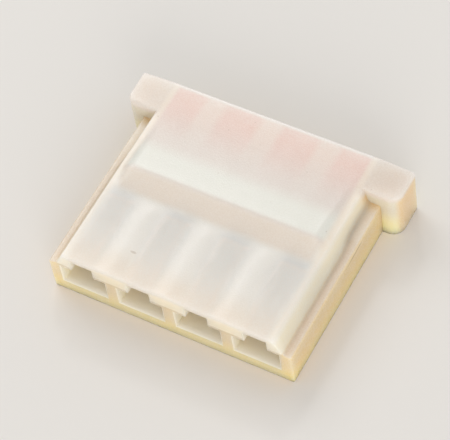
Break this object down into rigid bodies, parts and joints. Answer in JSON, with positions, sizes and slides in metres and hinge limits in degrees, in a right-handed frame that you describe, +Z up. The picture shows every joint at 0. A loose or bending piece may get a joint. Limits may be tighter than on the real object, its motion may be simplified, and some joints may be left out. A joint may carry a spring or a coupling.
{
  "type": "wire to board connector housing",
  "caption": "Flat moulded nylon housing for crimped wire contacts, with a row of cavities, stepped guide sides, a low grip ridge and an ear at each wire-end corner.",
  "frame": {"origin": "centre of the flat underside that the housing lies on", "axes": "+Z up out of the top face, -Y out of the mating face, +Y out of the wire end, X along the row of contacts"},
  "size_m": [0.012, 0.009, 0.0027],
  "materials": {
    "natural_nylon": "translucent natural nylon, satin as moulded, uncoloured"
  },
  "bodies": {
    "root": {"housing": "natural_nylon"}
  },
  "joints": []
}
